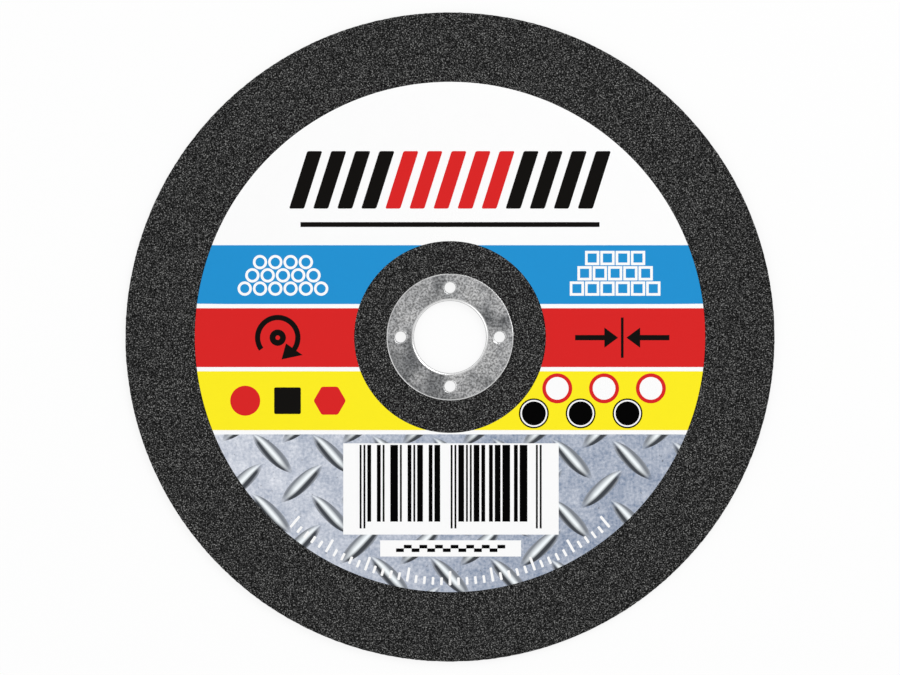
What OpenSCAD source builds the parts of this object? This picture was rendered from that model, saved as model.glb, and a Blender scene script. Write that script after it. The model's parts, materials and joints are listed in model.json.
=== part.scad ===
// Flat cut-off wheel: a pressed abrasive disc, a drawn steel centre ring and a paper label.
// The wheel lies on its back face with the label up. Z is the axis it turns about, and the
// origin is on that axis at the back face.

/* [Abrasive disc] */
// Outside diameter of the wheel
wheel_d = 200; // [180:1:230]
// Thickness of the pressed abrasive
wheel_t = 1.8; // [1.6:0.1:3]
// Rounding of the rim's two edges
rim_edge_r = 0.25; // [0.1:0.05:0.6]

/* [Centre ring] */
// Bore that slides over the spindle
bore_d = 22.23; // [20:0.01:25.4]
// Width of the flange, from the bore to its outer edge
flange_w = 8.4; // [8:0.1:14]
// Thickness of the steel sheet
sheet_t = 0.4; // [0.3:0.05:0.5]
// Height of the flange above the abrasive face
flange_proud = 0.15; // [0.05:0.05:0.25]
// Rounding of the flange's outer edge
flange_edge_r = 0.15; // [0.05:0.05:0.25]
// Inner radius of the bend from the flange into the collar
collar_bend_r = 0.3; // [0.1:0.05:0.5]
// Distance from the collar's end to the back face
collar_setback = 0.1; // [0.05:0.05:0.3]

/* [Keying holes] */
// Number of holes that key the ring into the disc
key_count = 4; // [3:1:6]
// Diameter of each hole
key_d = 3.4; // [2.5:0.1:4]
// Distance from the bore to the centres of the holes
key_inset = 4.1; // [3.9:0.1:4.5]
// Inner radius of the bend from the flange into each hole's lip
key_bend_r = 0.2; // [0.1:0.05:0.3]
// Depth of the lip below the flange
key_lip_depth = 0.8; // [0.5:0.05:1]

/* [Label] */
// Distance from the rim to the label's outer edge
label_margin = 21.5; // [8:0.5:30]
// Diameter of the label's hole
label_hole_d = 59; // [56:0.5:80]
// Thickness of the paper
label_t = 0.15; // [0.1:0.01:0.25]
// Height of the label above the abrasive face
label_proud = 0.05; // [0.01:0.01:0.08]

/* [Label print] */
// Height of the top colour band's upper edge above the wheel's axis
band_top = 28.25; // [20:0.05:29]
// Height of each colour band
band_h = 18.1; // [12:0.1:20]
// White line below each colour band
band_line = 1.3; // [0.5:0.1:3]
// Thickness of the printed ink
ink_t = 0.02; // [0.01:0.01:0.05]

/* [Fits] */
// Gap round the ring and round the label in their seats
seat_gap = 0.05; // [0.02:0.01:0.1]

/* [Hidden] */

$fn = 180;

wheel_r = wheel_d / 2;
bore_r = bore_d / 2;
ring_r = bore_r + flange_w;
flange_top = wheel_t + flange_proud;
flange_bottom = flange_top - sheet_t;

key_r = key_d / 2;
key_pitch_r = bore_r + key_inset;
key_lip_end = flange_bottom - key_lip_depth;

label_r = wheel_r - label_margin;
label_hole_r = label_hole_d / 2;
label_bottom = wheel_t + label_proud - label_t;

// Colours of the bands, from the top one down, and of the field below them
band_colours = ["#2690d2", "#d92726", "#faeb23"];
plate_colour = "#abb1c1";
band_pitch = band_h + band_line;
plate_top = band_top - len(band_colours) * band_pitch;

// How far a cutting shape runs past the face that it opens
cut_over = 1;

// Radius of a drawn hole's wall on the side that faces the disc
function wall_r(hole_r) = hole_r + sheet_t;

// Places its children at each keying hole, with the hole's axis on Z
module at_each_key() {
    for (i = [0 : key_count - 1])
        rotate([0, 0, i * 360 / key_count])
            translate([key_pitch_r, 0, 0])
                children();
}

// Half section of a disc whose upper outer edge is rounded
module edged_disc(r, t, edge_r) {
    square([r, t - edge_r]);
    square([r - edge_r, t]);
    translate([r - edge_r, t - edge_r])
        circle(r = edge_r);
}

// Half section of the solid boss that a hole is drawn out of: it reaches up into the sheet, and
// a fillet under the flange is the inside of the bend
module drawn_boss(hole_r, bend_r, end_z) {
    outer_r = wall_r(hole_r);
    bend_z = flange_bottom - bend_r;
    translate([0, end_z])
        square([outer_r, flange_bottom - end_z]);
    translate([0, bend_z])
        difference() {
            square([outer_r + bend_r, bend_r + sheet_t / 2]);
            translate([outer_r + bend_r, 0])
                circle(r = bend_r);
        }
}

// Half section of the hole through such a boss, with the outside of the bend rounding its mouth
module drawn_mouth(hole_r, bend_r) {
    crown_r = bend_r + sheet_t;
    translate([0, -cut_over])
        square([hole_r, flange_top + cut_over]);
    difference() {
        translate([0, flange_top - crown_r])
            square([hole_r + crown_r, crown_r + cut_over]);
        translate([hole_r + crown_r, flange_top - crown_r])
            circle(r = crown_r);
    }
}

// Half section of the hole that the disc keeps for a drawn wall: its mouth is rounded over so
// that it nests under the bend
module drawn_wall_seat(hole_r, bend_r) {
    seat_r = wall_r(hole_r) + seat_gap;
    bend_z = flange_bottom - bend_r;
    translate([0, -cut_over])
        square([seat_r, flange_bottom + cut_over]);
    difference() {
        translate([seat_r, bend_z])
            square(bend_r);
        translate([seat_r + bend_r, bend_z])
            circle(r = bend_r);
    }
}

// Half section of the abrasive before its seats are cut, with both edges of the rim rounded
module disc_blank() {
    half_t = wheel_t / 2;
    translate([0, half_t]) {
        edged_disc(wheel_r, half_t, rim_edge_r);
        mirror([0, 1])
            edged_disc(wheel_r, half_t, rim_edge_r);
    }
}

// Pressed abrasive with seats for the ring and the label
module abrasive_disc() {
    color([0.18, 0.18, 0.18])
        difference() {
            rotate_extrude()
                difference() {
                    disc_blank();
                    translate([0, flange_bottom])
                        square([ring_r + seat_gap, sheet_t + cut_over]);
                    drawn_wall_seat(bore_r, collar_bend_r);
                    translate([label_hole_r - seat_gap, label_bottom])
                        square([label_r - label_hole_r + 2 * seat_gap, label_t + cut_over]);
                }
            at_each_key()
                rotate_extrude()
                    drawn_wall_seat(key_r, key_bend_r);
        }
}

// Steel ring drawn from one sheet: flat flange, collar in the bore and a lip in each keying hole
module centre_ring() {
    color([0.62, 0.63, 0.64])
        difference() {
            union() {
                rotate_extrude() {
                    translate([0, flange_bottom])
                        edged_disc(ring_r, sheet_t, flange_edge_r);
                    drawn_boss(bore_r, collar_bend_r, collar_setback);
                }
                at_each_key()
                    rotate_extrude()
                        drawn_boss(key_r, key_bend_r, key_lip_end);
            }
            rotate_extrude()
                drawn_mouth(bore_r, collar_bend_r);
            at_each_key()
                rotate_extrude()
                    drawn_mouth(key_r, key_bend_r);
        }
}

// Outline of the paper, with its hole
module label_outline() {
    difference() {
        circle(r = label_r);
        circle(r = label_hole_r);
    }
}

// Ink on the paper from low_y up to high_y, out to the paper's edges
module ink_field(low_y, high_y) {
    field_w = 2 * (label_r + cut_over);
    translate([0, 0, label_t / 2])
        linear_extrude(label_t / 2 + ink_t)
            intersection() {
                label_outline();
                translate([-field_w / 2, low_y])
                    square([field_w, high_y - low_y]);
            }
}

// Paper label pressed into the face of the disc, printed with bands and a field of colour
module label() {
    translate([0, 0, label_bottom]) {
        color("white")
            linear_extrude(label_t)
                label_outline();
        for (i = [0 : len(band_colours) - 1])
            color(band_colours[i])
                ink_field(band_top - i * band_pitch - band_h, band_top - i * band_pitch);
        color(plate_colour)
            ink_field(-label_r - cut_over, plate_top);
    }
}

abrasive_disc();
centre_ring();
label();
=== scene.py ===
"""Dresses a flat cut-off wheel: gritty abrasive, drawn steel centre ring and printed paper label."""
import json
import math
import random
from functools import cached_property

import bmesh
import bpy
from bpy.props import FloatProperty, FloatVectorProperty, IntProperty, PointerProperty
from mathutils import Matrix, Vector
from mathutils.geometry import delaunay_2d_cdt


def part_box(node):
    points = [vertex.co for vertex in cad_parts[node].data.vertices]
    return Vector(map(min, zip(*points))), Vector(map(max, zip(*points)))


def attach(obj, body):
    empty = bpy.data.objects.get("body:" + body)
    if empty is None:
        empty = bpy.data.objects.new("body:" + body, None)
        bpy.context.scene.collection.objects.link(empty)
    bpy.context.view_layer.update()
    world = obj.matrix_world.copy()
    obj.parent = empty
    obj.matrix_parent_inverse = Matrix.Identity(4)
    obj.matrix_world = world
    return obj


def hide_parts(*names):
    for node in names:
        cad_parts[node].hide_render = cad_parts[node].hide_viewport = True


bl_info = {
    "name": "Cut-off wheel",
    "version": (1, 0, 0),
    "blender": (4, 5, 0),
    "location": "View3D > Sidebar > Cut-off wheel",
    "description": "Models and stages a cut-off wheel around its packed frame",
    "category": "Mesh",
}

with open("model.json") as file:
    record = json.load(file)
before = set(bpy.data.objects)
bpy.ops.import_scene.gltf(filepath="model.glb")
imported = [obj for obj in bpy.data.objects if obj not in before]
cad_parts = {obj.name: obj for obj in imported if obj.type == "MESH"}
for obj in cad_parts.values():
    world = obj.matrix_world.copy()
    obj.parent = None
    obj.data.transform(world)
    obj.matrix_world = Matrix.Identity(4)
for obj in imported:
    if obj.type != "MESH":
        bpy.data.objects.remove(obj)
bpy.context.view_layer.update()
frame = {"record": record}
DISC_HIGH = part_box("abrasive_disc")[1]
RING_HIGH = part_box("centre_ring")[1]
LABEL_LOW, LABEL_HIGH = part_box("label")

MM = 0.001
TOUCH = 0.001 * MM
TAU = 2 * math.pi
WHITE = (1.0, 1.0, 1.0, 1.0)
BORE_RADIUS = frame["record"]["mounts"][0]["dims"]["r_mm"] * MM
BANDS = ("blue", "red", "yellow")
INKS = {}


def display(*levels):
    """Linear colour from the 8-bit red, green and blue that a screen shows."""
    shares = [level / 255 for level in levels]
    return (*(s / 12.92 if s <= 0.04045 else ((s + 0.055) / 1.055) ** 2.4 for s in shares), 1.0)


def length(name, description, default):
    """Length property in metres."""
    return FloatProperty(name=name, description=description, default=default, unit="LENGTH", precision=5)


def power(name, description, default):
    """Power of a light in watts."""
    return FloatProperty(name=name, description=description, default=default, unit="POWER")


def colour(name, description, default):
    """Colour property."""
    return FloatVectorProperty(
        name=name, description=description, default=default, subtype="COLOR", size=4, min=0.0, max=1.0)


class DiscSizes(bpy.types.PropertyGroup):
    """Sizes of the abrasive disc and of the seats in it"""
    rim_radius: length("Rim radius", "Outside radius of the wheel", DISC_HIGH[0])
    face: length("Face height", "Height of the abrasive's front face", DISC_HIGH[2])
    rim_edge: length("Rim edge", "Rounding of the rim's edges", 0.25 * MM)
    seat_gap: length("Seat gap", "Gap round the label and the ring in their seats", 0.05 * MM)
    pocket_floor: length("Ring seat floor", "Height of the face under the ring's flange", 1.55 * MM)
    bore_radius: length("Bore seat radius", "Hole in the abrasive round the ring's collar", 11.565 * MM)
    bore_mouth: length("Bore mouth", "Rounding of that hole's mouth", 0.3 * MM)
    key_radius: length("Key seat radius", "Hole in the abrasive round each drawn lip", 2.15 * MM)
    key_mouth: length("Key mouth", "Rounding of that hole's mouth", 0.2 * MM)
    key_pitch: length("Key pitch radius", "Distance of the key seats from the axis", 15.215 * MM)
    key_count: IntProperty(name="Key seats", description="Number of key seats", default=4, min=1)
    grit: length("Grit spacing", "Spacing of the points on the front faces", 0.5 * MM)
    grain_size: length("Grain size", "Size of one abrasive grain", 0.95 * MM)
    grain_depth: length("Grain depth", "Depth of the gaps between grains", 0.16 * MM)


class LabelSizes(bpy.types.PropertyGroup):
    """Sizes of the paper label and of the fields printed on it"""
    radius: length("Label radius", "Outside radius of the paper", LABEL_HIGH[0])
    hole_radius: length("Hole radius", "Radius of the hole in the paper", 29.5 * MM)
    low: length("Underside", "Height of the paper's underside", LABEL_LOW[2])
    ink: length("Ink thickness", "Thickness of one layer of ink", 0.02 * MM)
    field_top: length("Print height", "Height of the printed fields", LABEL_HIGH[2])
    band_top: length("Band top", "Upper edge of the top band above the axis", 28.25 * MM)
    band_height: length("Band height", "Height of each colour band", 18.1 * MM)
    band_line: length("Band line", "White line under each band", 1.3 * MM)
    ridge_pitch: length("Ridge pitch", "Spacing of the ridges on the printed plate", 18.45 * MM)
    ridge_length: length("Ridge length", "Length of one ridge", 17.8 * MM)
    ridge_width: length("Ridge width", "Width of one ridge", 4.6 * MM)


class Finishes(bpy.types.PropertyGroup):
    """Colours of the abrasive, the steel and the print"""
    bond: colour("Bond", "Resin between the grains", display(4, 4, 4))
    grain: colour("Grain", "Common abrasive grain", display(28, 28, 28))
    glint: colour("Glint", "Light flecks in the grain", display(140, 140, 138))
    steel_dark: colour("Steel, dark", "Dull patches of the coated steel", display(150, 150, 150))
    steel_light: colour("Steel, light", "Bright patches of the coated steel", display(247, 247, 247))
    # Painted highlight: near-white colour laid on the ring's rounded outer edge and on the crowns of the
    # bore and key mouths.
    steel_edge_highlight: colour("Steel, edge highlight", "Painted highlight on the steel's drawn edges", display(247, 247, 247))
    # Painted shade: darker grey on the collar wall inside the bore, below its crown.
    steel_collar_shade: colour("Steel, collar shade", "Painted shade on the steel inside the bore", display(150, 150, 151))
    paper: colour("Paper", "Unprinted paper", display(252, 252, 252))
    black: colour("Black ink", "Black print on the white and red fields", display(15, 13, 11))
    dense_black: colour("Dense black ink", "Black print of the bars and roundels", display(2, 2, 2))
    blue: colour("Blue ink", "Top band", display(29, 145, 210))
    red: colour("Red ink", "Middle band", display(218, 32, 32))
    yellow: colour("Yellow ink", "Lower band", display(254, 238, 28))
    plate_light: colour("Plate, light", "Light end of the printed plate", display(205, 210, 221))
    plate_dark: colour("Plate, dark", "Dark end of the printed plate", display(164, 173, 190))
    ridge_edge: colour("Ridge, edge", "Foot of a printed ridge", display(140, 145, 153))
    ridge_dark: colour("Ridge, dark", "Lower flank of a printed ridge", display(62, 66, 72))
    ridge_crest: colour("Ridge, crest", "Crest of a printed ridge", display(243, 249, 252))
    ridge_flank: colour("Ridge, flank", "Upper flank of a printed ridge", display(124, 129, 137))


class StageSizes(bpy.types.PropertyGroup):
    """Camera, lights and floor"""
    view_width: length("View width", "Width that the picture covers at the label", 276.9 * MM)
    view_distance: length("View distance", "Distance of the camera from the label", 1.2)
    view_y: length("View up", "Picture centre above the axis", -0.154 * MM)
    floor_size: length("Floor size", "Side of the floor", 12.0)
    floor_gap: length("Floor gap", "Distance of the floor below the wheel", 0.02 * MM)
    key_power: power("Key light", "Power of the key light", 10.7)
    fill_power: power("Fill light", "Power of the fill light", 4.9)
    world_level: FloatProperty(name="World", description="Level of the light all round", default=1.07)


# Selecting and editing

def deselect():
    """Leave edit mode and deselect every object."""
    if bpy.context.object and bpy.context.object.mode != "OBJECT":
        end_edit()
    bpy.ops.object.select_all(action="DESELECT")


def activate(piece):
    """Make one object the only selected and active one."""
    deselect()
    piece.select_set(True)
    bpy.context.view_layer.objects.active = piece


def edit(piece):
    """Open one object in edit mode."""
    activate(piece)
    bpy.ops.object.mode_set(mode="EDIT")


def edit_new(name):
    """Empty mesh object, open in edit mode for the primitives that follow."""
    piece = bpy.data.objects.new(name, bpy.data.meshes.new(name))
    bpy.context.collection.objects.link(piece)
    edit(piece)
    return piece


def edit_mesh(piece):
    """Edit mesh of a piece that is in edit mode."""
    return bmesh.from_edit_mesh(piece.data)


def end_edit():
    """Go back to object mode."""
    bpy.ops.object.mode_set(mode="OBJECT")


def apply_modifier(piece, kind, **settings):
    """Add one modifier with its settings and apply it."""
    activate(piece)
    modifier = piece.modifiers.new(kind.lower(), kind)
    for key, value in settings.items():
        setattr(modifier, key, value)
    bpy.ops.object.modifier_apply(modifier=modifier.name)


def join(pieces):
    """Join objects into the first one."""
    activate(pieces[0])
    for other in pieces[1:]:
        other.select_set(True)
    if len(pieces) > 1:
        bpy.ops.object.join()
    return pieces[0]


def spread(start, stop, spacing):
    """Even steps from start to stop, without start itself."""
    count = max(1, round(abs(stop - start) / spacing))
    return [start + (stop - start) * (i + 1) / count for i in range(count)]


def row(count, pitch):
    """Places of a row that is centred on 0."""
    return [(i - (count - 1) / 2) * pitch for i in range(count)]


def arc(centre, radius, first, last, count):
    """Points on an arc, without the first one. Angles are in degrees."""
    points = []
    for i in range(count):
        angle = math.radians(first + (last - first) * (i + 1) / count)
        points.append((centre[0] + radius * math.cos(angle), centre[1] + radius * math.sin(angle)))
    return points


def copy_moved(piece, move):
    """Copy of a piece with its own mesh, which a matrix moves."""
    copy = piece.copy()
    copy.data = piece.data.copy()
    copy.data.transform(move)
    bpy.context.collection.objects.link(copy)
    return copy


def copies_round(piece, count):
    """The other pieces of a ring of count like pieces round the wheel's axis."""
    return [copy_moved(piece, Matrix.Rotation(i * TAU / count, 4, "Z")) for i in range(1, count)]


def close_seams(piece):
    """Merge doubled points and turn the faces outwards."""
    edit(piece)
    bpy.ops.mesh.select_all(action="SELECT")
    bpy.ops.mesh.remove_doubles(threshold=TOUCH)
    bpy.ops.mesh.normals_make_consistent(inside=False)
    end_edit()


def spin_section(name, points, steps, sectors=1, axis_x=0.0):
    """Shell from a section of (radius, height) points, spun round an upright axis at axis_x.

    A shell of many steps is spun as one sector and copied round the wheel's axis."""
    start = Vector((axis_x + points[0][0], 0.0, points[0][1]))
    piece = edit_new(name)
    bpy.ops.mesh.primitive_plane_add(size=MM, location=start)
    bpy.ops.mesh.merge(type="CENTER")
    for here, there in zip(points, points[1:]):
        move = (there[0] - here[0], 0.0, there[1] - here[1])
        bpy.ops.mesh.extrude_vertices_move(TRANSFORM_OT_translate={"value": move})
    bpy.ops.mesh.select_all(action="SELECT")
    bpy.ops.mesh.spin(
        steps=steps // sectors, angle=TAU / sectors, center=(axis_x, 0.0, 0.0), axis=(0.0, 0.0, 1.0))
    end_edit()
    join([piece] + copies_round(piece, sectors))
    close_seams(piece)
    return piece


def fill_level(piece, height, belongs):
    """Close the flat face between the open rings at one height, where belongs(x, y) is true.

    The rings have unlike numbers of points and the face has holes, which bridging and filling run
    across, so the face is laid out as a triangulation that keeps the rings' edges."""
    near = 0.02 * MM
    epsilon = 0.00001
    inside_rings = 1
    edit(piece)
    mesh = edit_mesh(piece)
    edges = [edge for edge in mesh.edges if edge.is_boundary and abs(edge.verts[0].co.z - height) < near]
    verts = list(dict.fromkeys(vert for edge in edges for vert in edge.verts))
    places = {vert: i for i, vert in enumerate(verts)}
    flat = [vert.co.xy / MM for vert in verts]
    fixed = [tuple(places[vert] for vert in edge.verts) for edge in edges]
    triangles, sources = delaunay_2d_cdt(flat, fixed, [], inside_rings, epsilon)[2:4]
    for corners in triangles:
        face = [verts[sources[i][0]] for i in corners]
        centre = sum((vert.co for vert in face), Vector()) / len(face)
        if belongs(centre.x, centre.y):
            mesh.faces.new(face)
    bmesh.update_edit_mesh(piece.data)
    end_edit()


# Flat print

def selected_faces(piece):
    """Faces that the last operator left selected."""
    return [face for face in edit_mesh(piece).faces if face.select]


def paint(piece, slot):
    """Give the selected faces a material slot."""
    for face in selected_faces(piece):
        face.material_index = slot
    bmesh.update_edit_mesh(piece.data)


def add_box_mark(piece, centre, size, height, slot=0):
    """Flat rectangle."""
    place = (*centre, height)
    bpy.ops.mesh.primitive_plane_add(size=1.0, location=place)
    bpy.ops.transform.resize(value=(*size, 1.0), center_override=place)
    paint(piece, slot)


def add_round_mark(piece, centre, radius, height, slot=0, sides=72):
    """Flat disc."""
    bpy.ops.mesh.primitive_circle_add(
        vertices=sides, radius=radius, fill_type="NGON", location=(*centre, height))
    paint(piece, slot)


def add_outline_mark(piece, points, height, slot=0, corner=0.0):
    """Flat shape from its outline, with its corners rounded where a corner size is given."""
    bpy.ops.mesh.primitive_circle_add(vertices=len(points), radius=MM, fill_type="NGON")
    for vert, point in zip(selected_faces(piece)[0].verts, points):
        vert.co = (*point, height)
    bmesh.update_edit_mesh(piece.data)
    if corner:
        bpy.ops.mesh.bevel(offset=corner, segments=4, affect="VERTICES")
    paint(piece, slot)


def hollow(wall):
    """Open the mark that was just added, and leave a wall round it."""
    bpy.ops.mesh.inset(thickness=wall)
    bpy.ops.mesh.delete(type="FACE")


def face_up(piece):
    """Turn the faces of a flat piece upwards and end its editing."""
    mesh = edit_mesh(piece)
    mesh.normal_update()
    for face in mesh.faces:
        if face.normal.z < 0:
            face.normal_flip()
    bmesh.update_edit_mesh(piece.data)
    end_edit()


def finish_print(piece, inks, thickness):
    """Turn flat marks face up, give them their inks and thickness and put them on the wheel."""
    face_up(piece)
    for ink in inks:
        piece.data.materials.append(INKS[ink])
    apply_modifier(piece, "SOLIDIFY", thickness=thickness, offset=1.0)
    put_on_wheel(piece)


def put_on_wheel(piece, node=None):
    """Tie a finished piece to the wheel, and hide the solid that it stands for where one is given."""
    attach(piece, "root")
    if node:
        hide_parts(node)


def plate_top(label):
    """Upper edge of the plate field, below the three bands."""
    return label.band_top - 3 * (label.band_height + label.band_line)


# Nodes and shared effects

def put(tree, value, socket):
    """Link an output to a socket, or set the socket to a value."""
    if isinstance(value, bpy.types.NodeSocket):
        tree.links.new(value, socket)
    else:
        socket.default_value = value


def add_node(tree, kind, inputs=None, **settings):
    """Node with its settings, and with its inputs linked or set."""
    node = tree.nodes.new(kind)
    for key, value in settings.items():
        setattr(node, key, value)
    for key, value in (inputs or {}).items():
        put(tree, value, node.inputs[key])
    return node


def new_group(name, inputs, outputs):
    """Node group with named sockets, what is given to it and what it puts out."""
    group = bpy.data.node_groups.new(name, "ShaderNodeTree")
    for way, sockets in (("INPUT", inputs), ("OUTPUT", outputs)):
        for socket, kind in sockets.items():
            group.interface.new_socket(socket, in_out=way, socket_type="NodeSocket" + kind)
    return group, add_node(group, "NodeGroupInput").outputs, add_node(group, "NodeGroupOutput").inputs


def maths(tree, operation, first, second=0.0, clamp=False):
    """Math on two sockets or numbers."""
    inputs = {0: first, 1: second}
    return add_node(tree, "ShaderNodeMath", inputs, operation=operation, use_clamp=clamp).outputs[0]


def weigh(tree, first, second, share):
    """Mean of two values, with a share for the first."""
    parts = [maths(tree, "MULTIPLY", *pair) for pair in ((first, share), (second, 1 - share))]
    return maths(tree, "ADD", *parts)


def off_middle(tree, value, contrast):
    """How far a noise is off its middle, times a contrast."""
    return maths(tree, "MULTIPLY", maths(tree, "SUBTRACT", value, 0.5), contrast)


def distance(tree, across, along):
    """Length of the way across and along."""
    squares = [maths(tree, "MULTIPLY", side, side) for side in (across, along)]
    return maths(tree, "SQRT", maths(tree, "ADD", *squares))


def split(tree, vector):
    """The three parts of a vector."""
    return add_node(tree, "ShaderNodeSeparateXYZ", {0: vector}).outputs


def mix_colours(tree, factor, first, second, blend="MIX"):
    """Mix of two colours, each a socket or a value."""
    inputs = {0: factor, 6: first, 7: second}
    return add_node(tree, "ShaderNodeMix", inputs, data_type="RGBA", blend_type=blend).outputs[2]


def noise(tree, vector, scale, detail=2.0, roughness=0.5):
    """Noise at a scale in repeats per metre."""
    inputs = {"Vector": vector, "Scale": scale, "Detail": detail, "Roughness": roughness}
    return add_node(tree, "ShaderNodeTexNoise", inputs).outputs[0]


def ramp(tree, factor, stops):
    """Colour ramp from (position, colour) stops."""
    node = add_node(tree, "ShaderNodeValToRGB", {0: factor})
    elements = node.color_ramp.elements
    while len(elements) < len(stops):
        elements.new(1.0)
    for element, (position, shade) in zip(elements, stops):
        element.position = position
        element.color = shade
    return node.outputs[0]


def map_range(tree, value, low, high, to_low=0.0, to_high=1.0):
    """Clamped map of one range onto another."""
    inputs = {0: value, 1: low, 2: high, 3: to_low, 4: to_high}
    return add_node(tree, "ShaderNodeMapRange", inputs, clamp=True).outputs[0]


def cloudy_tone_group():
    """Mottling between two colours, which the coated steel has at three sizes; the broadest also paints
    the steel's sheen.
    """
    group, given, result = new_group(
        "cloudy_tone",
        {"Vector": "Vector", "Scale": "Float", "Contrast": "Float", "Dark": "Color", "Light": "Color"},
        {"Colour": "Color", "Tone": "Float"})
    cloud = noise(group, given["Vector"], given["Scale"], detail=3.0, roughness=0.6)
    tone = maths(group, "ADD", off_middle(group, cloud, given["Contrast"]), 0.5, clamp=True)
    put(group, mix_colours(group, tone, given["Dark"], given["Light"]), result["Colour"])
    put(group, tone, result["Tone"])
    return group


def paper_tooth_group():
    """Ink on slightly toothed paper: patchy colour, uneven gloss and the press of the grit below."""
    group, given, result = new_group(
        "paper_tooth",
        {"Vector": "Vector", "Ink": "Color", "Patchiness": "Float"},
        {"Colour": "Color", "Roughness": "Float", "Height": "Float"})
    fibre = noise(group, given["Vector"], scale=3600.0)
    patch = noise(group, given["Vector"], scale=210.0, detail=3.0, roughness=0.6)
    pressed = noise(group, given["Vector"], scale=900.0, detail=1.0)
    uneven = weigh(group, fibre, patch, share=0.35)
    kept = maths(group, "SUBTRACT", 1.0, maths(group, "MULTIPLY", uneven, given["Patchiness"]))
    put(group, mix_colours(group, 1.0, given["Ink"], kept, "MULTIPLY"), result["Colour"])
    put(group, map_range(group, uneven, 0.3, 0.7, 0.42, 0.58), result["Roughness"])
    put(group, weigh(group, fibre, pressed, share=0.25), result["Height"])
    return group


def plate_tone_group():
    """Printed metal plate: lighter towards the left, faintly mottled, scratched and pitted."""
    group, given, result = new_group(
        "plate_tone", {"Vector": "Vector", "Light": "Color", "Dark": "Color"}, {"Colour": "Color"})
    vector = given["Vector"]
    stretch = {"Vector": vector, "Scale": (1.0, 0.12, 1.0)}
    lengthwise = add_node(group, "ShaderNodeMapping", stretch).outputs[0]
    layers = (
        off_middle(group, noise(group, vector, scale=190.0, detail=3.0, roughness=0.6), contrast=2.1),
        off_middle(group, noise(group, vector, scale=1050.0, roughness=0.6), contrast=2.5),
        off_middle(group, noise(group, lengthwise, scale=1300.0), contrast=0.6),
    )
    tone = map_range(group, split(group, vector)[0], -70 * MM, 15 * MM)
    for layer in layers:
        tone = maths(group, "ADD", tone, layer)
    base = mix_colours(group, tone, given["Light"], given["Dark"])
    base.node.clamp_factor = False
    pit = map_range(group, noise(group, vector, scale=620.0, roughness=0.6), 0.69, 0.77)
    put(group, mix_colours(group, pit, base, display(108, 112, 122)), result["Colour"])
    return group


# Materials

class Finish:
    """Material with its Principled BSDF and its Object coordinates at hand."""

    def __init__(self, name):
        self.material = bpy.data.materials.new(name)
        self.material.use_nodes = True
        self.tree = self.material.node_tree
        self.shader = self.tree.nodes["Principled BSDF"]

    @cached_property
    def vector(self):
        """Object coordinates."""
        return add_node(self.tree, "ShaderNodeTexCoord").outputs["Object"]

    def use(self, group, **values):
        """Outputs of a shared effect on the Object coordinates."""
        inputs = {"Vector": self.vector, **values}
        return add_node(self.tree, "ShaderNodeGroup", inputs, node_tree=group).outputs

    def feed(self, values):
        """Link or set the shader's sockets."""
        for socket, value in values.items():
            put(self.tree, value, self.shader.inputs[socket])

    def bump(self, height, strength, depth):
        """Bump from a height."""
        inputs = {"Height": height, "Strength": strength, "Distance": depth}
        self.feed({"Normal": add_node(self.tree, "ShaderNodeBump", inputs).outputs[0]})


def abrasive_finish(colours):
    """Dark bonded grain with light flecks, and the faint weave of the net on the back."""
    net_pitch = 4.5 * MM
    finish = Finish("bonded_grain")
    tree = finish.tree
    clump = noise(tree, finish.vector, scale=2500.0, detail=1.5, roughness=0.6)
    body = ramp(tree, clump, [
        (0.34, colours.bond), (0.50, colours.grain),
        (0.62, display(76, 76, 76)), (0.74, display(150, 150, 148))])
    cells = add_node(tree, "ShaderNodeTexVoronoi", {"Vector": finish.vector, "Scale": 2100.0}).outputs
    kind = add_node(tree, "ShaderNodeSeparateColor", {0: cells["Color"]}).outputs[0]
    core = map_range(tree, cells["Distance"], 0.15, 0.5, 1.0, 0.0)
    fleck = maths(tree, "MULTIPLY", map_range(tree, kind, 0.72, 0.95), core)
    flecked = mix_colours(tree, fleck, body, colours.glint)
    x, y, z = split(tree, finish.vector)
    waves = [maths(tree, "SINE", maths(tree, "MULTIPLY", side, TAU / net_pitch)) for side in (x, y)]
    net = maths(tree, "MAXIMUM", *(map_range(tree, wave, 0.45, 0.95) for wave in waves))
    imprint = maths(tree, "MULTIPLY", net, map_range(tree, z, 0.35 * MM, 0.15 * MM))
    pale = maths(tree, "MULTIPLY", imprint, 0.35)
    raised = maths(tree, "MULTIPLY", imprint, 0.5)
    finish.feed({
        "Base Color": mix_colours(tree, pale, flecked, display(84, 84, 82)),
        "Roughness": map_range(tree, fleck, 0.0, 1.0, 0.86, 0.45),
        "Specular IOR Level": 0.06,
    })
    finish.bump(maths(tree, "ADD", clump, raised), strength=0.7, depth=0.18 * MM)
    return finish.material


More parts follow.
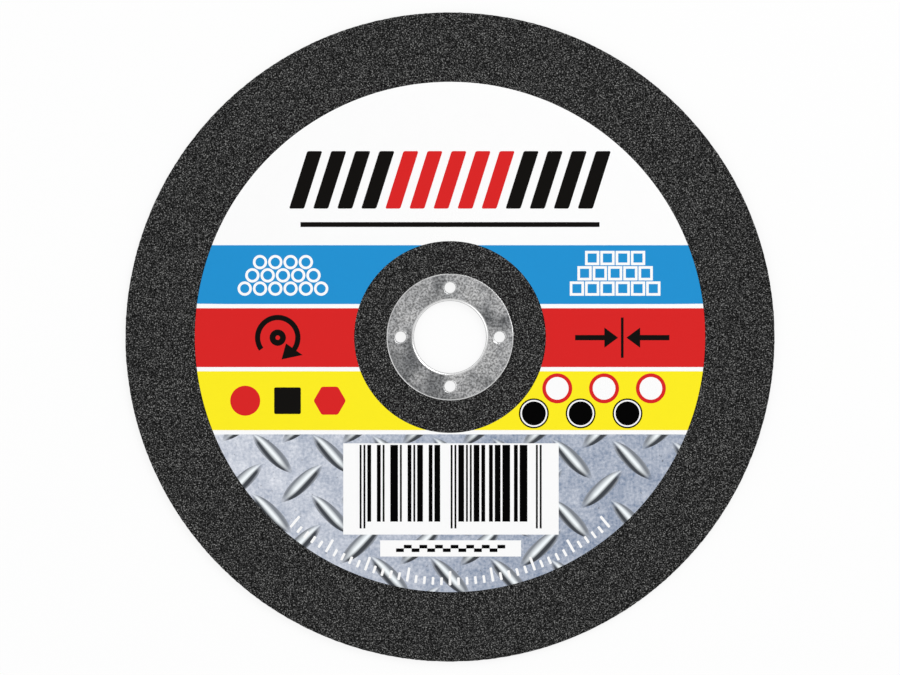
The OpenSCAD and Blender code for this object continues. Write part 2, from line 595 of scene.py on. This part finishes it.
def steel_finish(colours, disc):
    """Zinc-coated sheet: mottled grey with soft patches that also paint its sheen, a painted highlight on
    its drawn edges and mouth crowns, and painted shade on the collar inside the bore.
    """
    finish = Finish("coated_steel")
    tree = finish.tree
    group = cloudy_tone_group()
    fine = finish.use(
        group, Scale=1650.0, Contrast=4.2, Dark=colours.steel_dark, Light=colours.steel_light)
    wide = finish.use(group, Scale=240.0, Contrast=3.2, Dark=display(196, 197, 199), Light=WHITE)
    # The broad patches are random mottling of the zinc that also paints the ring's sheen across its face.
    broad = finish.use(group, Scale=70.0, Contrast=8.0, Dark=display(190, 191, 192), Light=WHITE)
    toned = mix_colours(tree, 1.0, fine["Colour"], wide["Colour"], "MULTIPLY")
    toned = mix_colours(tree, 1.0, toned, broad["Colour"], "MULTIPLY")
    x, y, z = split(tree, finish.vector)
    across, along = (maths(tree, "ABSOLUTE", side) for side in (x, y))
    radius = distance(tree, across, along)
    # Masks of the painted highlight: the rounded outer edge, and the crowns of the bore and key mouths.
    outer_edge = map_range(tree, radius, RING_HIGH[0] - 0.42 * MM, RING_HIGH[0] - 0.2 * MM)
    bore_edge = map_range(tree, radius, BORE_RADIUS + 0.85 * MM, BORE_RADIUS + 0.6 * MM)
    key_x = maths(tree, "SUBTRACT", maths(tree, "MAXIMUM", across, along), disc.key_pitch)
    key_radius = distance(tree, key_x, maths(tree, "MINIMUM", across, along))
    key_edge = map_range(tree, key_radius, disc.key_radius, disc.key_radius - 0.2 * MM, 0.0, 0.45)
    crown = map_range(tree, z, RING_HIGH[2] - 0.4 * MM, RING_HIGH[2] - 0.28 * MM)
    mouths = maths(tree, "MULTIPLY", maths(tree, "MAXIMUM", bore_edge, key_edge), crown)
    edge_highlight = maths(tree, "MAXIMUM", outer_edge, mouths)
    # Painted shade on the collar wall inside the bore, below the lip's crown.
    inside = maths(tree, "MULTIPLY", bore_edge, maths(tree, "SUBTRACT", 1.0, crown))
    # Painted highlight: the masked edges and crowns turn near white.
    highlighted = mix_colours(tree, edge_highlight, toned, colours.steel_edge_highlight)
    dull = map_range(tree, wide["Tone"], 0.0, 1.0, 0.52, 0.36)
    finish.feed({
        "Base Color": mix_colours(tree, inside, highlighted, colours.steel_collar_shade),
        "Metallic": 1.0,
        "Roughness": maths(tree, "SUBTRACT", dull, maths(tree, "MULTIPLY", edge_highlight, 0.12)),
    })
    finish.bump(fine["Tone"], strength=0.4, depth=0.03 * MM)
    return finish.material


def print_finish(finish, group, shade, patchiness, gloss=0.12):
    """Ink of one shade, or bare paper, on the label's toothed paper."""
    tooth = finish.use(group, Ink=shade, Patchiness=patchiness)
    finish.feed({
        "Base Color": tooth["Colour"],
        "Roughness": tooth["Roughness"],
        "Specular IOR Level": gloss,
    })
    finish.bump(tooth["Height"], strength=0.25, depth=0.03 * MM)
    return finish.material


def ridge_finish(name, colours, group, rising, dark_to, upper):
    """Printed ridge lit from above: dark lower flank, white crest and grey upper flank.

    The dark flank's end and the upper flank's start are places across the ridge, from 0 below to 1
    above. The crest lies across the ridge's line, dims at the lower end and fades at both."""
    finish = Finish(name)
    tree = finish.tree
    run, rise = split(tree, add_node(tree, "ShaderNodeTexCoord").outputs["UV"])[:2]
    climb = run if rising else maths(tree, "SUBTRACT", 1.0, run)
    slant = maths(tree, "MULTIPLY", maths(tree, "SUBTRACT", 0.5, climb), 0.32)
    across = maths(tree, "ADD", rise, slant)
    lower = [(0.0, colours.ridge_edge), (0.12, colours.ridge_dark), (dark_to, colours.ridge_dark)]
    crest = [(0.49, colours.ridge_crest), (0.58, colours.ridge_crest)]
    flank = [(upper, colours.ridge_flank), (0.95, colours.ridge_flank), (1.0, colours.ridge_edge)]
    lit = ramp(tree, across, lower + crest + flank)
    dull = ramp(tree, across, lower + [(0.5, colours.ridge_flank)] + flank[1:])
    shaded = mix_colours(tree, map_range(tree, climb, 0.35, 0.08, 0.0, 0.9), lit, dull)
    ends = [map_range(tree, climb, *reach) for reach in ((0.16, 0.0), (0.8, 1.0))]
    plate = finish.use(group, Light=colours.plate_light, Dark=colours.plate_dark)["Colour"]
    finish.feed({
        "Base Color": mix_colours(tree, maths(tree, "MAXIMUM", *ends), shaded, plate),
        "Roughness": map_range(tree, noise(tree, finish.vector, scale=900.0), 0.3, 0.7, 0.42, 0.58),
        "Specular IOR Level": 0.12,
    })
    return finish.material


def make_inks(colours):
    """The label's inks, by name."""
    tooth = paper_tooth_group()
    tone = plate_tone_group()
    plate = Finish("plate_print")
    shade = plate.use(tone, Light=colours.plate_light, Dark=colours.plate_dark)["Colour"]
    inks = {
        "paper": print_finish(Finish("label_paper"), tooth, colours.paper, patchiness=0.03),
        "black": print_finish(Finish("black_ink"), tooth, colours.black, patchiness=0.2, gloss=0.05),
        "dense_black": print_finish(
            Finish("dense_black_ink"), tooth, colours.dense_black, patchiness=0.2, gloss=0.02),
        "plate": print_finish(plate, tooth, shade, patchiness=0.03),
        "falling_ridge": ridge_finish(
            "falling_ridge_print", colours, tone, rising=False, dark_to=0.27, upper=0.8),
        "rising_ridge": ridge_finish(
            "rising_ridge_print", colours, tone, rising=True, dark_to=0.31, upper=0.9),
    }
    for name in BANDS:
        inks[name] = print_finish(Finish(name + "_ink"), tooth, getattr(colours, name), patchiness=0.05)
    return inks


# Pieces

class CUTOFF_OT_abrasive(bpy.types.Operator):
    """Model the pressed abrasive with its seats, its holes and its gritty faces"""
    bl_idname = "cutoff.abrasive"
    bl_label = "Abrasive disc"

    outer_steps = 1200
    inner_steps = 360
    hole_steps = 48
    rim_steps = 2
    mouth_steps = 3
    sectors = 12
    rim_overlap = 1.2 * MM
    back_margin = 2.5 * MM
    back_spacing = 1.6 * MM
    grit_group = "grit"
    back_grit = 0.45
    clump_size = 2.2
    clump_depth = 0.4
    smooth_to = math.radians(55)

    def execute(self, context):
        disc = context.scene.cutoff_disc
        label = context.scene.cutoff_label
        seat_outer = label.radius + disc.seat_gap
        seat_inner = label.hole_radius - disc.seat_gap
        pocket = RING_HIGH[0] + disc.seat_gap
        back_start = disc.rim_radius - self.back_margin
        back_end = disc.key_pitch + 3 * disc.key_radius
        outer = self.outer_section(disc, label, seat_outer)
        back = [(r, 0.0) for r in [back_start] + spread(back_start, back_end, self.back_spacing)]
        inner = [(seat_inner, label.low), (seat_inner, disc.face)]
        inner += [(r, disc.face) for r in spread(seat_inner, pocket, disc.grit)]
        inner += [(pocket, disc.pocket_floor)]
        bore = self.hole_section(disc.bore_radius, disc.bore_mouth, disc.pocket_floor)
        key = self.hole_section(disc.key_radius, disc.key_mouth, disc.pocket_floor)
        key_seat = spin_section("key_seat", key, self.hole_steps, axis_x=disc.key_pitch)
        piece = join([
            spin_section("abrasive_grain", outer, self.outer_steps, self.sectors),
            spin_section("abrasive_back", back, self.inner_steps, self.sectors),
            spin_section("abrasive_inner", inner, self.inner_steps, self.sectors),
            spin_section("bore_seat", bore, self.inner_steps, self.sectors),
            key_seat] + copies_round(key_seat, disc.key_count))
        keys = arc((0.0, 0.0), disc.key_pitch, 0, 360, disc.key_count)

        def beside_holes(x, y, bore_hole, key_hole):
            beside_keys = all(math.hypot(x - key_x, y - key_y) > key_hole for key_x, key_y in keys)
            return beside_keys and math.hypot(x, y) > bore_hole

        def label_seat(x, y):
            return seat_inner < math.hypot(x, y) < seat_outer

        def ring_seat(x, y):
            return beside_holes(
                x, y, disc.bore_radius + disc.bore_mouth, disc.key_radius + disc.key_mouth)

        def open_back(x, y):
            beside = beside_holes(x, y, disc.bore_radius, disc.key_radius)
            return beside and not back_end < math.hypot(x, y) < back_start

        fill_level(piece, label.low, label_seat)
        fill_level(piece, disc.pocket_floor, ring_seat)
        fill_level(piece, 0.0, open_back)
        close_seams(piece)
        self.roughen(piece, disc, (seat_outer, seat_inner, pocket, back_end))
        activate(piece)
        bpy.ops.object.shade_smooth_by_angle(angle=self.smooth_to)
        piece.data.materials.append(abrasive_finish(context.scene.cutoff_finishes))
        put_on_wheel(piece, "abrasive_disc")
        return {"FINISHED"}

    def outer_section(self, disc, label, seat_outer):
        """Section of the wall of the label's seat, the outer face and the rounded rim."""
        corner = disc.rim_radius - disc.rim_edge
        shoulder = disc.face - disc.rim_edge
        section = [(seat_outer, label.low), (seat_outer, disc.face)]
        section += [(r, disc.face) for r in spread(seat_outer, corner, disc.grit)]
        section += arc((corner, shoulder), disc.rim_edge, 90, 0, self.rim_steps)
        section += [(disc.rim_radius, z) for z in spread(shoulder, disc.rim_edge, disc.grit)]
        section += arc((corner, disc.rim_edge), disc.rim_edge, 0, -90, self.rim_steps)
        return section + [(disc.rim_radius - self.rim_overlap, 0.0)]

    def hole_section(self, radius, mouth, floor):
        """Section of a hole's wall from the back up to its rounded mouth in the ring's seat."""
        wall_top = floor - mouth
        bend = arc((radius + mouth, wall_top), mouth, 180, 90, self.mouth_steps)
        return [(radius, 0.0), (radius, wall_top)] + bend

    def roughen(self, piece, disc, edges):
        """Sink the gaps between the grains into the faces, and leave the seats smooth."""
        seat_outer, seat_inner, pocket, back_end = edges
        near = 0.01 * MM
        group = piece.vertex_groups.new(name=self.grit_group)
        for vert in piece.data.vertices:
            radius = math.hypot(vert.co.x, vert.co.y)
            front = vert.co.z > disc.face - near
            exposed = radius > seat_outer + near or pocket + near < radius < seat_inner - near
            if front and exposed or radius > disc.rim_radius - 2 * disc.rim_edge:
                group.add([vert.index], 1.0, "REPLACE")
            elif vert.co.z < near and radius > back_end + near:
                group.add([vert.index], self.back_grit, "REPLACE")
        for name, kind, size, level, depth in (
                ("grains", "VORONOI", 1.0, 0.0, -1.0),
                ("clumps", "CLOUDS", self.clump_size, 1.0, self.clump_depth)):
            texture = bpy.data.textures.new(name, kind)
            texture.noise_scale = size * disc.grain_size
            apply_modifier(
                piece, "DISPLACE", texture=texture, texture_coords="LOCAL",
                vertex_group=self.grit_group, mid_level=level, strength=depth * disc.grain_depth)


class CUTOFF_OT_ring(bpy.types.Operator):
    """Give the drawn centre ring its coated steel"""
    bl_idname = "cutoff.ring"
    bl_label = "Centre ring"

    def execute(self, context):
        ring = bpy.data.objects["centre_ring"]
        steel = steel_finish(context.scene.cutoff_finishes, context.scene.cutoff_disc)
        if not ring.material_slots:
            ring.data.materials.append(steel)
        for slot in ring.material_slots:
            slot.material = steel
        return {"FINISHED"}


class CUTOFF_OT_label(bpy.types.Operator):
    """Model the paper label with its colour bands and its plate field"""
    bl_idname = "cutoff.label"
    bl_label = "Label"

    edge_steps = 384

    def execute(self, context):
        label = context.scene.cutoff_label
        INKS.update(make_inks(context.scene.cutoff_finishes))
        paper_top = label.field_top - label.ink
        fields = []
        for i, name in enumerate(BANDS):
            top = label.band_top - i * (label.band_height + label.band_line)
            fields.append((name, top - label.band_height, top))
        fields.append(("plate", -label.radius, plate_top(label)))

        piece = edit_new("label_paper")
        for radius in (label.radius, label.hole_radius):
            bpy.ops.mesh.primitive_circle_add(
                vertices=self.edge_steps, radius=radius, location=(0.0, 0.0, paper_top))
        bpy.ops.mesh.select_all(action="SELECT")
        bpy.ops.mesh.bridge_edge_loops()
        for field in fields:
            for line in field[1:]:
                bpy.ops.mesh.select_all(action="SELECT")
                bpy.ops.mesh.bisect(plane_co=(0.0, line, 0.0), plane_no=(0.0, 1.0, 0.0))
        face_up(piece)
        piece.data.materials.append(INKS["paper"])
        apply_modifier(piece, "SOLIDIFY", thickness=paper_top - label.low, offset=-1.0)
        for slot, (name, low, high) in enumerate(fields, start=1):
            piece.data.materials.append(INKS[name])
            self.print_field(piece, slot, low, high, paper_top, label.ink)
        put_on_wheel(piece, "label")
        return {"FINISHED"}

    def print_field(self, piece, slot, low, high, paper_top, ink):
        """Raise one field of ink from the paper's face."""
        edit(piece)
        bpy.ops.mesh.select_mode(type="FACE")
        bpy.ops.mesh.select_all(action="DESELECT")
        for face in edit_mesh(piece).faces:
            middle = face.calc_center_median()
            if face.normal.z > 0.5 and abs(middle.z - paper_top) < TOUCH and low < middle.y < high:
                face.select_set(True)
        bmesh.update_edit_mesh(piece.data)
        bpy.ops.mesh.extrude_region_move(TRANSFORM_OT_translate={"value": (0.0, 0.0, ink)})
        paint(piece, slot)
        end_edit()


class CUTOFF_OT_plate_ridges(bpy.types.Operator):
    """Print the crossed ridges of the plate field"""
    bl_idname = "cutoff.plate_ridges"
    bl_label = "Plate ridges"

    lean = math.radians(43.2)
    turn = math.radians(-1.08)
    first = (-54.7 * MM, -35.8 * MM, 0.0)
    cross_x = 9.3 * MM
    cross_y = -9.05 * MM
    columns = range(-1, 8)
    rows = range(-1, 4)
    taper = 2.4
    trim_layers = 10

    def execute(self, context):
        label = context.scene.cutoff_label
        ridge = self.one_ridge(label)
        origin = Matrix.Translation(self.first) @ Matrix.Rotation(self.turn, 4, "Z")
        reach = label.ridge_length / 2
        spine = [Vector((place, 0.0, 0.0)) for place in (-reach, 0.0, reach)]
        top = plate_top(label)
        copies = []
        for column in self.columns:
            for row_number in self.rows:
                x = column * label.ridge_pitch
                y = -row_number * label.ridge_pitch
                for place, lean, ink in (
                        ((x, y, 0.0), -self.lean, "falling_ridge"),
                        ((x + self.cross_x, y + self.cross_y, 0.0), self.lean, "rising_ridge")):
                    move = origin @ Matrix.Translation(place) @ Matrix.Rotation(lean, 4, "Z")
                    points = [(move @ point).xy for point in spine]
                    if any(point.length < label.radius and point.y < top for point in points):
                        copies.append(copy_moved(ridge, move))
                        copies[-1].data.materials.append(INKS[ink])
        bpy.data.objects.remove(ridge)
        ridges = join(copies)
        ridges.name = "plate_ridges"
        field = self.field_solid(label)
        apply_modifier(ridges, "BOOLEAN", object=field, operation="INTERSECT", solver="EXACT")
        bpy.data.objects.remove(field)
        put_on_wheel(ridges)
        return {"FINISHED"}

    def one_ridge(self, label):
        """Thin pointed lens on its own chart, along X."""
        ridge = edit_new("ridge")
        bpy.ops.mesh.primitive_grid_add(x_subdivisions=16, y_subdivisions=4, size=1.0)
        for vert in edit_mesh(ridge).verts:
            width = label.ridge_width * (1 - abs(2 * vert.co.x) ** self.taper)
            vert.co = (vert.co.x * label.ridge_length, vert.co.y * width, label.field_top)
        bmesh.update_edit_mesh(ridge.data)
        bpy.ops.mesh.remove_doubles(threshold=TOUCH)
        end_edit()
        apply_modifier(ridge, "SOLIDIFY", thickness=label.ink / 2, offset=1.0)
        return ridge

    def field_solid(self, label):
        """Solid over the plate field, to trim the ridges to its edges."""
        field = edit_new("plate_field")
        add_round_mark(field, (0.0, 0.0), label.radius, label.field_top, sides=CUTOFF_OT_label.edge_steps)
        bpy.ops.mesh.bisect(
            plane_co=(0.0, plate_top(label), 0.0), plane_no=(0.0, 1.0, 0.0), clear_outer=True)
        end_edit()
        apply_modifier(field, "SOLIDIFY", thickness=self.trim_layers * label.ink, offset=0.0)
        return field


class CUTOFF_OT_top_marks(bpy.types.Operator):
    """Print the leaning bars and the rule in the white field at the top"""
    bl_idname = "cutoff.top_marks"
    bl_label = "Top marks"

    bar_count = 13
    red_bars = range(4, 9)
    low = 39.5 * MM
    high = 57.2 * MM
    bar_width = 4.6 * MM
    bar_pitch = 7.4 * MM
    lean = 5.6 * MM
    corner = 0.5 * MM
    rule_y = 34.6 * MM
    rule_size = (92 * MM, 1.5 * MM)

    def execute(self, context):
        label = context.scene.cutoff_label
        height = label.field_top - label.ink
        piece = edit_new("top_marks")
        for i, middle in enumerate(row(self.bar_count, self.bar_pitch)):
            left = middle - self.bar_width / 2 - self.lean / 2
            right = left + self.bar_width
            outline = [
                (left, self.low), (right, self.low),
                (right + self.lean, self.high), (left + self.lean, self.high)]
            add_outline_mark(piece, outline, height, int(i in self.red_bars), self.corner)
        add_box_mark(piece, (0.0, self.rule_y), self.rule_size, height)
        finish_print(piece, ("black", "red"), label.ink)
        return {"FINISHED"}


class CUTOFF_OT_stock_marks(bpy.types.Operator):
    """Print white stacks of stock on the blue band: round tubes on the left, box sections on the right"""
    bl_idname = "cutoff.stock_marks"
    bl_label = "Steel stock marks"

    floor_y = 12.7 * MM
    half = 2.2 * MM
    wall = 0.8 * MM
    gap = 0.3 * MM
    tubes_x = -51.4 * MM
    boxes_x = 50.8 * MM
    row_counts = (6, 5, 4)
    nest = math.sin(math.radians(60))
    tube_sides = 40

    def execute(self, context):
        label = context.scene.cutoff_label
        height = label.field_top
        step = 2 * self.half + self.gap
        low = self.floor_y + self.half
        piece = edit_new("stock_marks")
        for level, count in enumerate(self.row_counts):
            for across in row(count, step):
                tube = (self.tubes_x + across, low + level * step * self.nest)
                add_round_mark(piece, tube, self.half, height, sides=self.tube_sides)
                hollow(self.wall)
                box = (self.boxes_x + across, low + level * step)
                add_box_mark(piece, box, (2 * self.half, 2 * self.half), height)
                hollow(self.wall)
        finish_print(piece, ("paper",), label.ink)
        return {"FINISHED"}


class CUTOFF_OT_use_marks(bpy.types.Operator):
    """Print black marks on the red band: a wheel in a turning arrow and a thin cut between two arrows"""
    bl_idname = "cutoff.use_marks"
    bl_label = "Use marks"

    middle_y = -0.2 * MM
    line = 1.6 * MM
    turn_x = -53.0 * MM
    turn_radius = 6.2 * MM
    turn_from = 215
    turn_to = -35
    turn_steps = 40
    head_to = -80
    tip_radius = 6.8 * MM
    wheel_radius = 2.5 * MM
    wheel_hole = 0.7 * MM
    cut_x = 53.0 * MM
    cut_height = 12.4 * MM
    arrow_length = 4.2 * MM
    arrow_half = 3.1 * MM
    arrow_gap = 1.3 * MM
    stem_length = 9.0 * MM

    def execute(self, context):
        label = context.scene.cutoff_label
        height = label.field_top
        y = self.middle_y
        piece = edit_new("use_marks")
        add_outline_mark(piece, self.turn_outline((self.turn_x, y)), height)
        add_round_mark(piece, (self.turn_x, y), self.wheel_radius, height)
        hollow(self.wheel_radius - self.wheel_hole)
        add_box_mark(piece, (self.cut_x, y), (self.line / 2, self.cut_height), height)
        for side in (-1, 1):
            tip = self.cut_x + side * self.arrow_gap
            back = tip + side * self.arrow_length
            add_outline_mark(
                piece, [(tip, y), (back, y + self.arrow_half), (back, y - self.arrow_half)], height)
            stem = (back + side * self.stem_length / 2, y)
            add_box_mark(piece, stem, (self.stem_length, self.line), height)
        finish_print(piece, ("black",), label.ink)
        return {"FINISHED"}

    def turn_outline(self, centre):
        """Outline of a band bent round a centre, with an arrow head on its end."""
        step = (self.turn_to - self.turn_from) / self.turn_steps
        count = self.turn_steps + 1
        outer_radius = self.turn_radius + self.line / 2
        inner_radius = self.turn_radius - self.line / 2
        outline = arc(centre, outer_radius, self.turn_from - step, self.turn_to, count)
        for radius, angle in (
                (self.turn_radius + self.arrow_half, self.turn_to),
                (self.tip_radius, self.head_to),
                (self.turn_radius - self.arrow_half, self.turn_to)):
            outline += arc(centre, radius, angle, angle, 1)
        return outline + arc(centre, inner_radius, self.turn_to + step, self.turn_from, count)


class CUTOFF_OT_bar_sections(bpy.types.Operator):
    """Print solid bar sections on the yellow band: round, square and six-sided"""
    bl_idname = "cutoff.bar_sections"
    bl_label = "Bar sections"

    middle_y = -19.6 * MM
    first_x = -63.0 * MM
    pitch = 13.0 * MM
    half = 4.6 * MM
    corner = 0.5 * MM
    cornered = ((4, 45, 1.26), (6, 0, 1.08))

    def execute(self, context):
        label = context.scene.cutoff_label
        height = label.field_top
        piece = edit_new("bar_sections")
        add_round_mark(piece, (self.first_x, self.middle_y), self.half, height, 1)
        for i, (sides, first, reach) in enumerate(self.cornered):
            centre = (self.first_x + (i + 1) * self.pitch, self.middle_y)
            outline = arc(centre, self.half * reach, first, first + 360, sides)
            add_outline_mark(piece, outline, height, i, self.corner)
        finish_print(piece, ("black", "red"), label.ink)
        return {"FINISHED"}


class CUTOFF_OT_roundels(bpy.types.Operator):
    """Print two rows of plain roundels on the yellow band"""
    bl_idname = "cutoff.roundels"
    bl_label = "Roundels"

    count = 3
    radius = 4.6 * MM
    pitch = 14.4 * MM
    red_first = 33.0 * MM
    red_y = -15.8 * MM
    red_field = 0.76
    black_first = 25.8 * MM
    black_y = -23.5 * MM
    black_line = (0.9, 0.1)

    def execute(self, context):
        label = context.scene.cutoff_label
        low = label.field_top
        high = low + label.ink / 2
        line_outer, line_width = (share * self.radius for share in self.black_line)
        piece = edit_new("roundels")
        for i in range(self.count):
            red = (self.red_first + i * self.pitch, self.red_y)
            add_round_mark(piece, red, self.radius, low, 1)
            add_round_mark(piece, red, self.red_field * self.radius, high)
            black = (self.black_first + i * self.pitch, self.black_y)
            add_round_mark(piece, black, self.radius, low, 2)
            add_round_mark(piece, black, line_outer, high)
            hollow(line_width)
        finish_print(piece, ("paper", "red", "dense_black"), label.ink)
        return {"FINISHED"}


class CUTOFF_OT_bar_panel(bpy.types.Operator):
    """Print the white panels on the plate field, one with bars of random widths and one with a rule"""
    bl_idname = "cutoff.bar_panel"
    bl_label = "Bar panel"

    panel_centre = (0.3 * MM, -46.75 * MM)
    panel_size = (66.3 * MM, 28.1 * MM)
    bars_left = -27.8 * MM
    bars_right = 28.2 * MM
    bars_top = -33.2 * MM
    bars_low = -56.8 * MM
    guard_low = -58.9 * MM
    module = 0.59 * MM
    guard_modules = 3
    lead_modules = 4
    tail_modules = 5
    seed = 11
    bar_widths = (1, 1, 2, 2, 3, 4)
    bar_gaps = (1, 1, 2, 3)
    strip_centre = (0.2 * MM, -65.05 * MM)
    strip_size = (43.4 * MM, 5.0 * MM)
    rule_blocks = 14
    rule_block = (2.4 * MM, 1.1 * MM)

    def execute(self, context):
        label = context.scene.cutoff_label
        low = label.field_top + label.ink / 2
        high = low + label.ink / 2
        piece = edit_new("bar_panel")
        add_box_mark(piece, self.panel_centre, self.panel_size, low)
        add_box_mark(piece, self.strip_centre, self.strip_size, low)
        chance = random.Random(self.seed)
        middle = (self.bars_left + self.bars_right) / 2
        guards = (self.bars_left, middle, self.bars_right - self.guard_modules * self.module)
        for guard in guards:
            for step in range(0, self.guard_modules, 2):
                self.add_bar(piece, guard + step * self.module, 1, self.guard_low, high)
        for start, stop in zip(guards, guards[1:]):
            left = start + self.lead_modules * self.module
            while left < stop - self.tail_modules * self.module:
                width = chance.choice(self.bar_widths)
                self.add_bar(piece, left, width, self.bars_low, high)
                left += (width + chance.choice(self.bar_gaps)) * self.module
        self.add_rule(piece, high)
        finish_print(piece, ("paper", "dense_black"), label.ink / 2)
        return {"FINISHED"}

    def add_bar(self, piece, left, modules, bottom, height):
        """One upright black bar."""
        width = modules * self.module
        centre = (left + width / 2, (self.bars_top + bottom) / 2)
        add_box_mark(piece, centre, (width, self.bars_top - bottom), height, 1)

    def add_rule(self, piece, height):
        """Row of staggered blocks, like a rule's divisions."""
        width, tall = self.rule_block
        for i, across in enumerate(row(self.rule_blocks, width)):
            shift = tall / 2 if i % 2 else -tall / 2
            centre = (self.strip_centre[0] + across, self.strip_centre[1] + shift)
            add_box_mark(piece, centre, self.rule_block, height, 1)


class CUTOFF_OT_arc_ticks(bpy.types.Operator):
    """Print white ticks along the lower edge of the plate field"""
    bl_idname = "cutoff.arc_ticks"
    bl_label = "Arc ticks"

    outer_radius = 76.4 * MM
    first = math.radians(230)
    last = math.radians(310)
    tick_count = 41
    long_every = 5
    tick_width = 0.8 * MM
    long_tick = 4.4 * MM
    short_tick = 2.4 * MM
    corner = 0.25 * MM

    def execute(self, context):
        label = context.scene.cutoff_label
        height = label.field_top + label.ink / 2
        piece = edit_new("arc_ticks")
        for i in range(self.tick_count):
            angle = self.first + (self.last - self.first) * i / (self.tick_count - 1)
            outward = Vector((math.cos(angle), math.sin(angle)))
            sideways = Vector((-outward.y, outward.x)) * self.tick_width / 2
            outer_end = outward * self.outer_radius
            inner_end = outer_end - outward * (self.short_tick if i % self.long_every else self.long_tick)
            outline = [
                outer_end + sideways, inner_end + sideways,
                inner_end - sideways, outer_end - sideways]
            add_outline_mark(piece, outline, height, 0, self.corner)
        finish_print(piece, ("paper",), label.ink / 2)
        return {"FINISHED"}


class CUTOFF_OT_stage(bpy.types.Operator):
    """Lay the pale floor, hang the lights and set the camera straight above the wheel"""
    bl_idname = "cutoff.stage"
    bl_label = "Stage"

    key_place = (0.75, 0.85, 1.1)
    key_size = 0.9
    fill_place = (-0.95, -0.6, 1.0)
    fill_size = 1.2
    floor_glow = 0.85
    overhead = (0.48, 0.48, 0.48, 1.0)

    def execute(self, context):
        stage = context.scene.cutoff_stage
        context.scene.view_settings.view_transform = "Standard"
        self.lay_floor(stage)
        self.light_world(context.scene, stage.world_level)
        self.hang_light("key_light", self.key_place, self.key_size, stage.key_power)
        self.hang_light("fill_light", self.fill_place, self.fill_size, stage.fill_power)
        self.set_camera(context.scene, stage)
        return {"FINISHED"}

    def lay_floor(self, stage):
        """White floor that keeps the wheel's shadow."""
        deselect()
        bpy.ops.mesh.primitive_plane_add(size=stage.floor_size, location=(0.0, 0.0, -stage.floor_gap))
        floor = bpy.context.object
        floor.name = "floor"
        finish = Finish("white_floor")
        finish.feed({"Base Color": display(246, 246, 246), "Roughness": 0.9, "Specular IOR Level": 0.1})
        tree = finish.tree
        path = add_node(tree, "ShaderNodeLightPath").outputs
        seen = maths(tree, "MAXIMUM", path["Is Camera Ray"], path["Is Glossy Ray"])
        seen = maths(tree, "MAXIMUM", seen, path["Is Transmission Ray"])
        share = maths(tree, "MULTIPLY", seen, self.floor_glow)
        glow = add_node(tree, "ShaderNodeEmission").outputs[0]
        blend = add_node(tree, "ShaderNodeMixShader", {0: share, 1: finish.shader.outputs[0], 2: glow})
        put(tree, blend.outputs[0], tree.nodes["Material Output"].inputs["Surface"])
        floor.data.materials.append(finish.material)

    def light_world(self, scene, level):
        """Soft light from all round, brighter towards the walls than overhead."""
        world = bpy.data.worlds.new("even_light")
        world.use_nodes = True
        tree = world.node_tree
        height = split(tree, add_node(tree, "ShaderNodeTexCoord").outputs["Generated"])[2]
        background = tree.nodes["Background"]
        put(tree, level, background.inputs["Strength"])
        put(tree, ramp(tree, height, [(0.0, WHITE), (0.75, self.overhead)]), background.inputs["Color"])
        scene.world = world

    def hang_light(self, name, place, size, watts):
        """Square soft light aimed at the wheel."""
        aim = Vector(place).to_track_quat("Z", "Y").to_euler()
        bpy.ops.object.light_add(type="AREA", location=place, rotation=aim)
        lamp = bpy.context.object
        lamp.name = name
        lamp.data.size = size
        lamp.data.energy = watts

    def set_camera(self, scene, stage):
        """Camera above the wheel, looking straight down with the label's top up."""
        height = LABEL_HIGH[2] + stage.view_distance
        bpy.ops.object.camera_add(location=(0.0, stage.view_y, height), rotation=(0.0, 0.0, 0.0))
        camera = bpy.context.object
        camera.name = "camera"
        camera.data.lens = camera.data.sensor_width * stage.view_distance / stage.view_width
        scene.camera = camera


class CUTOFF_PT_panel(bpy.types.Panel):
    """Lists the steps that make the wheel"""
    bl_idname = "CUTOFF_PT_panel"
    bl_label = "Cut-off wheel"
    bl_space_type = "VIEW_3D"
    bl_region_type = "UI"
    bl_category = "Cut-off wheel"

    def draw(self, context):
        for step in STEPS:
            self.layout.operator(step.bl_idname)


GROUPS = (
    ("cutoff_disc", DiscSizes),
    ("cutoff_label", LabelSizes),
    ("cutoff_finishes", Finishes),
    ("cutoff_stage", StageSizes),
)
STEPS = (
    CUTOFF_OT_abrasive,
    CUTOFF_OT_ring,
    CUTOFF_OT_label,
    CUTOFF_OT_plate_ridges,
    CUTOFF_OT_top_marks,
    CUTOFF_OT_stock_marks,
    CUTOFF_OT_use_marks,
    CUTOFF_OT_bar_sections,
    CUTOFF_OT_roundels,
    CUTOFF_OT_bar_panel,
    CUTOFF_OT_arc_ticks,
    CUTOFF_OT_stage,
)


def register():
    """Register the settings, the steps and the panel."""
    for name, group in GROUPS:
        bpy.utils.register_class(group)
        setattr(bpy.types.Scene, name, PointerProperty(type=group))
    for step in STEPS:
        bpy.utils.register_class(step)
    bpy.utils.register_class(CUTOFF_PT_panel)


def unregister():
    """Remove what register added."""
    bpy.utils.unregister_class(CUTOFF_PT_panel)
    for step in reversed(STEPS):
        bpy.utils.unregister_class(step)
    for name, group in reversed(GROUPS):
        delattr(bpy.types.Scene, name)
        bpy.utils.unregister_class(group)


def main():
    """Make every piece of the wheel, then the stage."""
    register()
    bpy.ops.cutoff.abrasive()
    bpy.ops.cutoff.ring()
    bpy.ops.cutoff.label()
    bpy.ops.cutoff.plate_ridges()
    bpy.ops.cutoff.top_marks()
    bpy.ops.cutoff.stock_marks()
    bpy.ops.cutoff.use_marks()
    bpy.ops.cutoff.bar_sections()
    bpy.ops.cutoff.roundels()
    bpy.ops.cutoff.bar_panel()
    bpy.ops.cutoff.arc_ticks()
    bpy.ops.cutoff.stage()


if __name__ == "__main__":
    main()
